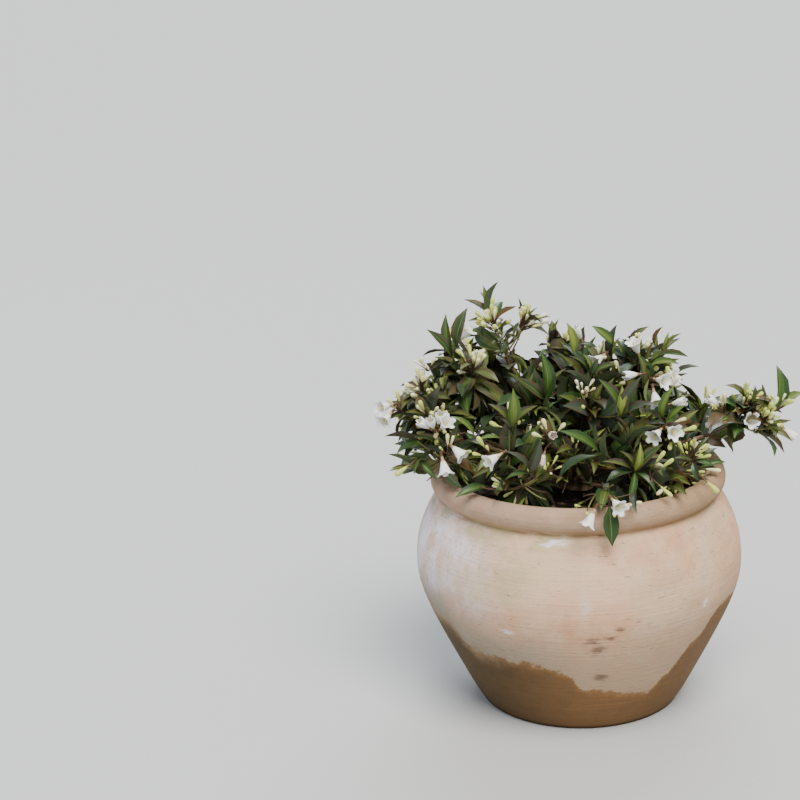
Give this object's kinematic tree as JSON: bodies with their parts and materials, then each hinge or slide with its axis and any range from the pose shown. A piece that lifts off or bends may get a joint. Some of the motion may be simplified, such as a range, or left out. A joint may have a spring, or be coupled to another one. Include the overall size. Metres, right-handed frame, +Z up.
{
  "type": "potted shrub",
  "caption": "Potted weigela: a low, spreading shrub with bronze-green leaves and white funnel flowers, in a bellied terracotta pot with a rolled rim.",
  "frame": {"origin": "the middle of the pot's flat underside, on the pot's axis", "axes": "+Z up along the pot's axis, -Y towards the front of the plant, +X to the right as seen from the front"},
  "size_m": [0.5537, 0.4281, 0.5473],
  "materials": {
    "terracotta": "matte",
    "soil": "matte",
    "bark": "matte",
    "leaves": "satin"
  },
  "bodies": {
    "root": {"pot": "terracotta", "potting_soil": "soil", "woody_base": "bark", "cane_top_left": "bark", "cane_left_upper": "bark", "cane_left": "bark", "cane_left_low": "bark", "cane_front_left": "bark", "cane_front_low": "bark", "cane_centre": "bark", "cane_front_right": "bark", "cane_front_middle": "bark", "cane_over_rim": "bark", "cane_right_upper": "bark", "cane_top_centre": "bark", "cane_top_right": "bark", "cane_right_low": "bark", "cane_right_shoot": "bark", "cane_left_back": "bark", "cane_back_left": "bark", "cane_back_top": "bark", "cane_back_right": "bark", "cane_right_back": "bark", "cane_back_low_left": "bark", "cane_back_low": "bark", "cane_back_low_right": "bark", "cane_centre_left": "bark", "foliage_top_left": "leaves", "foliage_left_upper": "leaves", "foliage_left": "leaves", "foliage_left_low": "leaves", "foliage_front_left": "leaves", "foliage_front_low": "leaves", "foliage_centre": "leaves", "foliage_front_right": "leaves", "foliage_front_middle": "leaves", "foliage_over_rim": "leaves", "foliage_right_upper": "leaves", "foliage_top_centre": "leaves", "foliage_top_right": "leaves", "foliage_right_low": "leaves", "foliage_right_shoot": "leaves", "foliage_left_back": "leaves", "foliage_back_left": "leaves", "foliage_back_top": "leaves", "foliage_back_right": "leaves", "foliage_right_back": "leaves", "foliage_back_low_left": "leaves", "foliage_back_low": "leaves", "foliage_back_low_right": "leaves", "foliage_centre_left": "leaves"}
  },
  "joints": []
}
